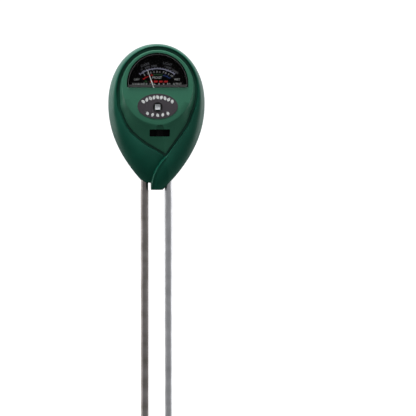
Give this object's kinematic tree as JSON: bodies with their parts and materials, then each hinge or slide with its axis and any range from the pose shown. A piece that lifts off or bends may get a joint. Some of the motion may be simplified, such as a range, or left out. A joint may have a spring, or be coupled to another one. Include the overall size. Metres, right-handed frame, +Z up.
{
  "type": "soil moisture meter",
  "caption": "Hand-held soil meter: egg-shaped green head with a needle dial behind a half-round window, a light cell and a slide switch, on two long metal probes.",
  "frame": {"origin": "middle of the flat lower end of the neck, between the two probes, on the plane where the two shells meet", "axes": "+Z up along the probes to the top of the head, front of the dial faces -Y, +X across the head to the right as seen from the front"},
  "size_m": [0.065, 0.0338, 0.2932],
  "materials": {
    "green_shell": "satin moulded green plastic, darker than the face",
    "rear_green": "satin moulded green plastic with a fine spark texture",
    "green_face": "satin moulded green plastic, lighter disc",
    "steel_screw": "zinc-plated",
    "label_black": "black printed film with white leaves",
    "black_plastic": "black moulded",
    "clear_window": "clear polished acrylic",
    "base_cream": "natural moulded nylon",
    "dial_print": "black printed scale plate",
    "brass_part": "turned brass",
    "yoke_steel": "soft iron, zinc-plated",
    "magnet_dark": "cast magnet, ground",
    "jewel_red": "polished synthetic ruby",
    "bronze_spring": "phosphor bronze strip",
    "pivot_steel": "polished hardened steel",
    "former_aluminium": "thin aluminium strip",
    "copper_winding": "enamelled copper wire",
    "pointer_white": "white painted aluminium",
    "board_green": "glass-fibre board",
    "cell_white": "white moulded frame",
    "cell_dark": "dark cell under clear resin",
    "switch_tin": "tin-plated pressed steel",
    "solder_tin": "tinned pins",
    "board_tan": "paper-phenolic board with copper tracks",
    "trim_blue": "moulded blue body, metal rotor",
    "resistor_tan": "lacquered body with colour bands",
    "probe_zinc": "drawn rod, darkened by use",
    "probe_bright": "drawn rod, satin",
    "wire_black": "PVC-covered wire",
    "wire_red": "PVC-covered wire"
  },
  "bodies": {
    "head": {"front_shell": "green_shell", "rear_shell": "rear_green", "face_panel": "green_face", "case_screws": "steel_screw", "label_plate": "label_black", "sensor_ring": "black_plastic", "window_cover": "clear_window", "meter_base": "base_cream", "base_screws": "steel_screw", "dial_plate": "dial_print", "dial_screws": "steel_screw", "stop_pins": "brass_part", "yoke_ring": "yoke_steel", "core_magnet": "magnet_dark", "core_screws": "brass_part", "front_bridge": "brass_part", "bridge_screws": "steel_screw", "front_jewel": "jewel_red", "rear_jewel": "jewel_red", "photocell_board": "board_green", "photocell_frame": "cell_white", "photocell_die": "cell_dark", "switch_body": "switch_tin", "switch_pins": "solder_tin", "circuit_board": "board_tan", "board_screws": "steel_screw", "trim_resistor": "trim_blue", "resistors": "resistor_tan", "probe_clamp": "base_cream", "left_probe": "probe_zinc", "right_probe": "probe_bright", "probe_tags": "brass_part", "probe_nuts": "solder_tin", "left_probe_wire": "wire_black", "right_probe_wire": "wire_red", "meter_wire_red": "wire_red", "meter_wire_black": "wire_black", "cell_wire_red": "wire_red", "cell_wire_black": "wire_black"},
    "movement": {"spindle": "pivot_steel", "coil_former": "former_aluminium", "coil_winding": "copper_winding", "pointer": "pointer_white", "balance_weights": "pivot_steel", "front_hairspring": "bronze_spring", "rear_hairspring": "bronze_spring"},
    "switch": {"switch_knob": "black_plastic", "switch_contact": "brass_part"},
    "zero_arm": {"zero_lever": "brass_part"}
  },
  "joints": [
    {"name": "pointer_swing", "type": "hinge", "parent": "head", "child": "movement", "pos_m": [0, -0.0144, 0.0616], "axis": [0, 1, 0], "range_deg": [-13.8, 52.2], "stiffness_Nm_per_rad": 0.000005, "springref_deg": -13.8, "deforming": ["front_hairspring", "rear_hairspring"]},
    {"name": "switch_slide", "type": "slide", "parent": "head", "child": "switch", "axis": [1, 0, 0], "range_m": [-0.0036, 0.0036]},
    {"name": "zero_adjust", "type": "hinge", "parent": "head", "child": "zero_arm", "pos_m": [0, -0.0149, 0.0616], "axis": [0, 1, 0], "range_deg": [-8, 8]}
  ]
}
